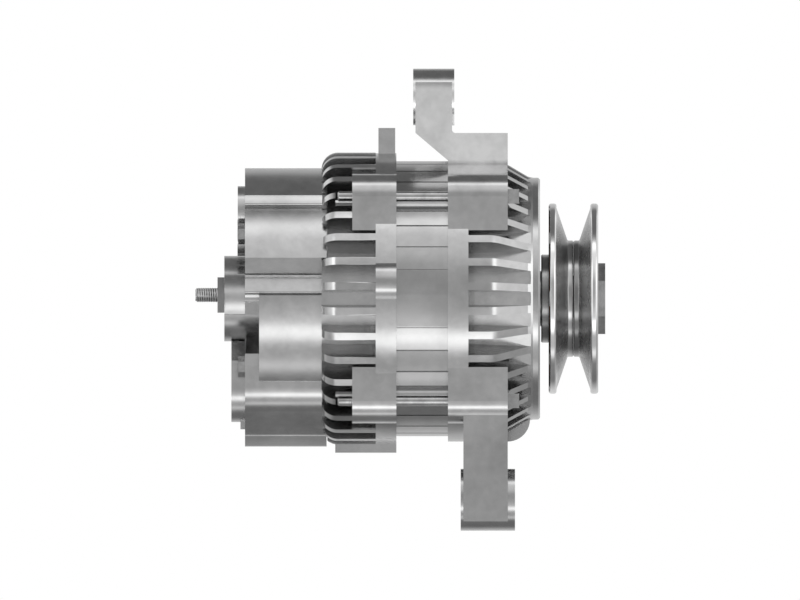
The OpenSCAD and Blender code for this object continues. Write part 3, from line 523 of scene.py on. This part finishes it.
def headBar(x0, x1, flats, axis, chamfer=0.4, turn=0.0, sides=6, around=72):
    # radius = half flats / cos(angle to the nearest flat), with the corners turned off at both ends
    cut, lip = 1.7 * chamfer, 1.65 * chamfer
    step = 0.02 * chamfer
    angle = np.linspace(0, 2 * np.pi, around, endpoint=False)
    half = np.pi / sides
    near = (angle - turn + half) % (2 * half) - half
    outline = flats / 2 / np.cos(near)
    corner = flats / 2 / np.cos(half)
    xs = np.array([x0, x0 + step, x0 + chamfer, x1 - chamfer, x1 - step, x1])
    limit = corner - np.array([cut, lip, 0, 0, lip, cut])
    r = np.minimum(outline[None], limit[:, None])
    return cylinderGrid(xs * mm, r * mm, scaled(axis), around)


ringsPerPitch = 8
c = stud
xs = np.linspace(c["tip"], c["face"], round((c["face"] - c["tip"]) / c["pitch"] * ringsPerPitch) + 1)
shankEnds = np.array([c["face"] - c["overlap"], c["seat"] + c["overlap"]])
points, faces = joinParts([
    threadedBar(xs, c["radius"], c["pitch"], c["depth"], c["axis"]),
    cylinderGrid(shankEnds * mm, c["shank"] * mm, scaled(c["axis"])),
    headBar(c["seat"] + c["headGap"], c["seat"] + c["head"], c["headWide"], c["axis"],
            turn=math.radians(c["headTurn"])),
])
studPiece = makePiece("threadedStud", points, faces, "housing", "steel", ["battery_stud"])
sharpen(studPiece)


# through bolts: plain shank, square head at the pulley end, faint thread on the tail behind the rear boss

bolts = {"offset": 45.0, "radius": 2.25, "tail": -103.7, "thread": 12.0, "seat": -28.9, "head": 5.0,
         "flats": 6.4, "chamfer": 0.1, "pitch": 0.8, "depth": 0.04, "taper": 0.5, "around": 32,
         "gap": 0.01}

parts = []
b = bolts
for sy in (-1, 1):
    for sz in (-1, 1):
        axis = (sy * b["offset"], sz * b["offset"])
        tail = np.arange(b["tail"], b["tail"] + b["thread"], b["pitch"] / ringsPerPitch)
        shank = np.array([tail[-1] + b["gap"], b["seat"]])
        parts.append(threadedBar(tail, b["radius"], b["pitch"], b["depth"], axis, b["taper"], b["around"]))
        parts.append(cylinderGrid(shank * mm, b["radius"] * mm, scaled(axis), b["around"]))
        parts.append(headBar(b["seat"], b["seat"] + b["head"], b["flats"], axis, b["chamfer"], sides=4))
points, faces = joinParts(parts)
boltSet = makePiece("throughBoltSet", points, faces, "housing", "steel", ["through_bolts"])
sharpen(boltSet)
print("alternator: stud and bolts")


# brush springs: round wire on a helix, at one fixed height

spring = {"radius": 1.8, "wire": 0.35, "turns": 6, "bottom": -30.9, "height": 8.0, "play": 0.05,
          "perTurn": 24, "around": 10}


def springTube(xCentre):
    # wire centre turns at the coil radius and climbs evenly; its ring of points faces along radius and axis
    c = spring
    low = c["bottom"] + c["wire"] + c["play"]
    rise = c["height"] - 2 * (c["wire"] + c["play"])
    u = np.linspace(0, 1, c["perTurn"] * c["turns"] + 1)[:, None]
    a = 2 * np.pi * c["turns"] * u
    k = np.linspace(0, 2 * np.pi, c["around"], endpoint=False)[None]
    reach = c["radius"] + c["wire"] * np.cos(k)
    x = xCentre + reach * np.cos(a)
    y = reach * np.sin(a)
    z = low + rise * u + c["wire"] * np.sin(k)
    points = np.stack([x, y, z], -1).reshape(-1, 3) * mm
    rows, columns = len(u), k.shape[1]
    faces = gridFaces(rows, columns).tolist()
    faces.append(list(range(columns))[::-1])
    faces.append([(rows - 1) * columns + j for j in range(columns)])
    return points, faces


for name, node, joint in (("innerSpringWire", "inner_brush_spring", "inner_brush_slide"),
                          ("outerSpringWire", "outer_brush_spring", "outer_brush_slide")):
    lo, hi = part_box(node)
    points, faces = springTube((lo.x + hi.x) / 2 / mm)
    wire = makePiece(name, points, faces, "housing", "steel", [node])
    outward(wire)
    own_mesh(wire)
print("alternator: springs")


# wound copper: a ridged field coil in place of the smooth solid, and ridged end turns at both ends of the
# stator core

coil = {"inner": 21.45, "outer": 30.35, "half": 9.4, "middle": -66.55, "turns": 19, "ridge": 0.35,
        "perTurn": 8, "around": 96}
c = coil
start, end = c["middle"] - c["half"], c["middle"] + c["half"]
t = np.linspace(0, 1, c["turns"] * c["perTurn"] + 1)
top = c["outer"] - c["ridge"] * (1 - np.abs(np.sin(np.pi * c["turns"] * t)))
ridges = np.stack([top, start + (end - start) * t], -1)
profile = np.concatenate([ridges, [[c["inner"], end], [c["inner"], start]]])
points, faces = revolve(profile * mm, c["around"])
coilPiece = makePiece("fieldCoilTurns", points, faces, "rotor", "copper", ["field_coil"])
outward(coilPiece)
sharpen(coilPiece, 60)

winding = {"inner": 42.7, "outer": 47.1, "slots": 36, "wires": 180, "ridge": 0.22, "lump": 0.25,
           "reach": 9.0, "gaps": (0.1, 0.2), "square": 0.55, "slant": 3, "round": 40, "around": 1200}


def endTurns(x0, x1):
    # ring with an oval section; ridges of slanting wires and one lump for each slot stand on it
    c = winding
    v = np.linspace(0, 2 * np.pi, c["round"], endpoint=False)[:, None]
    a = np.linspace(0, 2 * np.pi, c["around"], endpoint=False)[None]
    cv, sv = np.cos(v), np.sin(v)
    ridge = c["ridge"] * (np.abs(np.sin(c["wires"] / 2 * a + c["slant"] * cv)) - 1)
    lump = c["lump"] * (np.cos(c["slots"] * a) - 1) / 2
    grow = ridge + lump
    middle, half = (c["inner"] + c["outer"]) / 2, (c["outer"] - c["inner"]) / 2
    r = middle + (half + grow) * np.sign(cv) * np.abs(cv) ** c["square"]
    x = (x0 + x1) / 2 + ((x1 - x0) / 2 + grow) * np.sign(sv) * np.abs(sv) ** c["square"]
    points = np.stack([x, r * np.cos(a), r * np.sin(a)], -1).reshape(-1, 3) * mm
    return points, gridFaces(c["round"], c["around"], closeRows=True).tolist()


lo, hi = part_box("stator_core")
rear, front = lo.x / mm, hi.x / mm
c = winding
points, faces = joinParts([
    endTurns(rear - c["reach"], rear - c["gaps"][0]),
    endTurns(front + c["gaps"][1], front + c["reach"]),
])
bundle = makePiece("stackedEndTurns", points, faces, "housing", "copper")
outward(bundle)
print("alternator: windings")


# rear cover: prisms along the shaft, each from an outline of (sideways, up) corners; angle 0 is away from
# the viewer, 90 up and 180 toward the viewer

cover = {
    "back": -144.5, "step": -138.3, "mouth": -110.5, "skirt": -108.6,  # along the shaft
    "plate": 2.0, "wall": 2.0, "disc": 57.4, "bulge": 51.7, "bulgeEdge": -36.0,
    "hub": (-6.0, 0.0), "hubRadius": 18.8, "corner": (-23.0, -38.6), "cornerRadius": 13.0,
    "ribRound": 0.8, "notchRound": 0.6,
    "slots": 8, "slotFrom": 24, "slotTo": 40, "slotHalf": 1.5, "slotStart": -52, "slotStep": 10,
    "screwHole": 2.8, "screws": ((-27.96, -29.98), (34.04, -32.99), (-37.91, 28.46)),
    "studHole": 5.22, "recess": 12.0, "disk": 13.0,
    "bury": 0.4, "apart": 0.1, "gap": 0.01, "webInset": 1,
    "padRise": 3.2, "screwPadRise": 3.3, "lowPadRise": 6.0, "chipRise": 2.0, "bossRise": 9.1, "diskRise": 3.0,
}


def arc(centre, radius, start, end, step=3.0):
    # points on a circle from one angle in degrees to another
    count = max(2, int(abs(end - start) / step) + 1)
    a = np.radians(np.linspace(start, end, count))
    return np.stack([centre[0] + radius * np.cos(a), centre[1] + radius * np.sin(a)], -1)


def circle(centre, radius, step):
    return arc(centre, radius, 0, 360 - step, step)


def path(*parts):
    return np.concatenate([np.atleast_2d(np.asarray(part, float)) for part in parts])


def prism(outline, x0, x1, holes=()):
    # closed bar between two planes; the end faces are cut into triangles round the holes
    loops = [np.asarray(loop, float) for loop in (outline, *holes)]
    flat = np.concatenate(loops)
    triangles = tessellate_polygon([[(y, z, 0.0) for y, z in loop] for loop in loops])
    count = len(flat)
    points = np.concatenate([np.column_stack([np.full(count, x), flat]) for x in (x0, x1)]) * mm
    faces = [list(t) for t in triangles] + [[k + count for k in reversed(t)] for t in triangles]
    base = 0
    for loop in loops:
        n = len(loop)
        k = np.arange(n)
        after = (k + 1) % n
        side = np.stack([base + k, base + after, count + base + after, count + base + k], -1)
        faces += side.tolist()
        base += n
    return points, faces


def coverOutline():
    # outer lines in order: over the top and down the two ribs, then the pocket or the bulge, then the foot
    c = cover
    top = path(arc((0, 0), c["disc"], -66.5, 127.4), [(-39.9, 45.5)],
               arc((-41.7, 41.7), c["ribRound"], 150, 270, 20), arc((0, 0), c["disc"], 135.6, 161.7),
               [(-48.9, 11.2)], arc((-47.2, 10.1), c["notchRound"], 90, 240, 25), [(-46.9, 9.1)],
               arc((-49.1, 2.9), c["ribRound"], 150, 270, 20))
    pocket = path([(-36.2, 1.6), (-35.9, 0.2), (-35.0, -1.0), (-32, -1.6), (-32, -7)],
                  arc(c["hub"], c["hubRadius"], 201.9, 244.8), [(-6.5, -24.2), (c["bulgeEdge"], -24.2)])
    bulge = path([(-49.7, 1.5)], arc((0, 0), c["bulge"], 178.4, 224.4, 1.5), [(c["bulgeEdge"], -36.4)])
    keel = [(-12.6, -59.6), (-12.1, -60.4), (-9.5, -61.7), (-3.8, -64.6), (-2.8, -65.0), (-1.6, -65.1),
            (14, -65.1)]
    low = path(arc(c["corner"], c["cornerRadius"], 180, 240), keel)
    return top, pocket, bulge, keel, low


def coverCavity():
    # the same lines one wall further in
    c = cover
    wall = c["wall"]
    top = path([(-2, -63), (13, -63)], arc((0, 0), c["disc"] - wall, -67.2, 158.8),
               [(-46.5, 15.2), (-43.5, 13.3)])
    pocket = path([(-34, 9), (-34, 3.6), (-30, 3.6), (-30, -5)],
                  arc(c["hub"], c["hubRadius"] - wall, 197.3, 249.1),
                  [(-3.6, -24.2), (-3.6, -26.2), (-34, -26.2)])
    bulge = path([(-42, 9), (-42, 1)], arc((0, 0), c["bulge"] - wall, 180.7, 223.7), [(-34, -36)])
    low = path(arc(c["corner"], c["cornerRadius"] - wall, 180, 240), [(-12, -57.5), (-9, -58.4)])
    return path(top, pocket, low), path(top, bulge, low)


def coverHoles():
    c = cover
    slot = path([(c["slotFrom"], -c["slotHalf"]), (c["slotTo"], -c["slotHalf"]),
                 (c["slotTo"], c["slotHalf"]), (c["slotFrom"], c["slotHalf"])])
    holes = []
    for k in range(c["slots"]):
        a = math.radians(c["slotStep"] * k + c["slotStart"])
        holes.append(slot @ np.array([[math.cos(a), math.sin(a)], [-math.sin(a), math.cos(a)]]))
    holes += [circle(spot, c["screwHole"], 15) for spot in c["screws"]]
    return holes, circle(stud["axis"], c["studHole"], 12)


def coverPads():
    # pads proud of the back plate as (outline, rise, how deep it is sunk, holes)
    c = cover
    upper = path(arc((10, 38.5), 11, -90, 90), arc((-24, 38.5), 11, 90, 270))
    lower = path([(8.6, -18.6), (-11.0, -18.6), (-19.5, -26.8), (-20.6, -27.2)],
                 arc((-6, -39.7), 14.6, 180, 360))
    chip = [(-9, -57.5), (3, -57.5), (3, -45.5), (-9, -45.5)]
    boss = path([(-38.9, 10.8)], arc((-53.2, -11.3), 26.0, 55, 10),
                arc(c["hub"], c["hubRadius"], 201.9, 504.2))
    studHole = coverHoles()[1]
    # pads that cross are sunk to different depths, so that no two of their inner faces share a plane
    sunk = [c["bury"] - c["apart"] * k for k in range(4)]
    return [
        (upper, c["padRise"], sunk[0], []),
        (circle((-22, 27), 8.2, 5), c["screwPadRise"], sunk[1], []),
        (lower, c["lowPadRise"], sunk[0], []),
        (chip, c["chipRise"], sunk[1], []),
        (boss, c["bossRise"], sunk[2], [circle((0, 0), c["recess"], 4), studHole]),
        (circle((0, 0), c["disk"], 4), c["diskRise"], sunk[3], []),
    ]


def coverParts():
    c = cover
    back, step, mouth = c["back"], c["step"], c["mouth"]
    plateEnd = back + c["plate"]
    top, pocket, bulge, keel, low = coverOutline()
    pocketCavity, bulgeCavity = coverCavity()
    holes, studHole = coverHoles()
    web = path(arc((0, 0), c["bulge"] - c["webInset"], 178.4, 224.4),
               [(-5, -30), (-5, -16), (-14, -14), (-14, 1)])
    skirt = path(arc(c["corner"], c["cornerRadius"], 225, 240), keel, arc((0, 0), c["disc"], -66.5, 161.7),
                 arc((0, 0), c["disc"] - c["wall"], 161.2, -67.2),
                 [(13, -63), (-2, -63), (-9, -58.4), (-12, -57.5)],
                 arc(c["corner"], c["cornerRadius"] - c["wall"], 240, 225))
    return [
        prism(path(top, pocket, low), back, plateEnd, [*holes, studHole]),
        prism(path(top, pocket, low), plateEnd, step, [pocketCavity]),
        prism(path(top, bulge, low), step, mouth, [bulgeCavity]),
        prism(web, step + c["gap"], step + c["plate"]),
        prism(skirt, mouth, c["skirt"]),
        *[prism(outline, back - rise, back + sunk, cut) for outline, rise, sunk, cut in coverPads()],
    ]


points, faces = joinParts(coverParts())
coverPiece = makePiece("rearCoverShell", points, faces, "housing", "cast", ["rear_cover"], finishOf=coverCast)
outward(coverPiece)
sharpen(coverPiece, 30)
print("alternator: rear cover")


# camera and studio

view = {
    "centre": (-76.3 * mm, -0.6 * mm),  # x and z at the middle of the picture
    "width": 352 * mm,
    "distance": 2.0,
}
camera = bpy.data.objects.new("camera", bpy.data.cameras.new("camera"))
bpy.context.scene.collection.objects.link(camera)
camera.data.type = "ORTHO"
camera.data.ortho_scale = view["width"]
camera.location = (view["centre"][0], -view["distance"], view["centre"][1])
camera.rotation_euler = (math.radians(90), 0, 0)
bpy.context.scene.camera = camera
bpy.context.scene.view_settings.view_transform = "Standard"

ground = {"height": -102.6 * mm, "half": 6.0, "tone": 0.8, "rough": 0.9}  # just under the foot
h = ground["half"]
z = ground["height"]
floorMesh = bpy.data.meshes.new("floor")
floorMesh.from_pydata([(-h, -h, z), (h, -h, z), (h, h, z), (-h, h, z)], [], [(0, 1, 2, 3)])
floor = bpy.data.objects.new("floor", floorMesh)
bpy.context.scene.collection.objects.link(floor)
s = Surface("paleFloor")
s.set(Base_Color=grey(ground["tone"]), Roughness=ground["rough"], Specular_IOR_Level=0.1)
clear = s.add("ShaderNodeBsdfTransparent")  # mirror rays pass, so the metal sees the studio below too
glossy = s.add("ShaderNodeLightPath", out="Is Glossy Ray")
pale = Link(s.tree, s.shader.outputs[0])
both = s.add("ShaderNodeMixShader", inputs={0: glossy, 1: pale, 2: clear})
connect(s.tree, s.tree.nodes["Material Output"].inputs["Surface"], both)
floorMesh.materials.append(s.material)


# the world is a ring of soft boxes round the shaft direction: tone by angle from the viewer up and over,
# with a tall box to each side of the viewer

class Studio(Surface):
    def __init__(self, name):
        self.world = bpy.data.worlds.new(name)
        bpy.context.scene.world = self.world
        self.world.use_nodes = True
        self.tree = self.world.node_tree
        self.tree.nodes.clear()
        self.place = self.add("ShaderNodeTexCoord", out="Generated")


studio = {
    # share of a whole turn: 0.5 is level toward the viewer, 0.75 straight up, 0.25 straight down
    "ring": [
        (0.0, 0.6), (0.03, 0.8), (0.09, 0.8), (0.14, 0.5), (0.165, 0.27), (0.26, 0.3), (0.28, 0.5),
        (0.3, 1.3), (0.312, 1.3), (0.33, 0.7), (0.372, 0.7), (0.388, 1.5), (0.396, 2.5), (0.42, 2.5),
        (0.433, 1.0), (0.45, 1.0), (0.48, 0.72), (0.5, 0.64), (0.52, 0.55), (0.558, 0.55), (0.6, 1.0),
        (0.66, 1.15), (0.68, 1.9), (0.698, 1.9), (0.708, 0.7), (0.735, 0.2), (0.88, 0.22), (0.915, 0.6),
        (0.97, 0.7), (1.0, 0.6),
    ],
    # how far the even room takes over from the ring, from 0 toward the viewer to 1 along the shaft
    "roomShare": [(0.0, 0.0), (0.3, 0.0), (0.46, 1.0), (1.0, 1.0)],
    # the room's tones from straight down to straight up
    "room": [(0.0, 0.45), (0.3, 0.6), (0.42, 0.85), (0.5, 0.75), (0.62, 1.0), (0.8, 1.3), (0.95, 0.7),
             (1.0, 0.5)],
    # the side boxes by how far aside they are, and by the share of a turn
    "side": [(0.0, 0.0), (0.3, 0.0), (0.42, 1.0), (0.58, 1.0), (0.68, 0.35), (1.0, 0.2)],
    "sideTurn": [(0.0, 0.0), (0.38, 0.0), (0.45, 1.0), (0.6, 1.0), (0.66, 0.0), (1.0, 0.0)],
    "sideTone": 1.4,
    "brightest": 2.6,  # the ramps hold tones as shares of this
}

c = studio
w = Studio("studio")
x, y, z = w.split()
turn = w.add("ShaderNodeMath", {"operation": "ARCTAN2"}, {0: z, 1: y * -1}) * (0.5 / math.pi) + 0.5
aside = w.add("ShaderNodeMath", {"operation": "ABSOLUTE"}, {0: x})
ring = w.ramp(turn, [(place, tone / c["brightest"]) for place, tone in c["ring"]])
room = w.ramp(z * 0.5 + 0.5, [(place, tone / c["brightest"]) for place, tone in c["room"]])
sides = w.times(w.ramp(aside, c["side"]), w.ramp(turn, c["sideTurn"]))
sides = w.times(sides, c["sideTone"] / c["brightest"])
around = w.blend(w.ramp(aside, c["roomShare"]), ring, room)
total = w.add("ShaderNodeVectorMath", {"operation": "ADD"}, {0: around, 1: sides})
lit = w.add("ShaderNodeBackground", inputs={"Color": total, "Strength": c["brightest"]})
plain = w.add("ShaderNodeBackground", inputs={"Color": grey(1.0)})
seen = w.add("ShaderNodeLightPath", out="Is Camera Ray")
pick = w.add("ShaderNodeMixShader", inputs={0: seen, 1: lit, 2: plain})
w.add("ShaderNodeOutputWorld", inputs={"Surface": pick}, out=None)
print("alternator: camera, floor and studio")
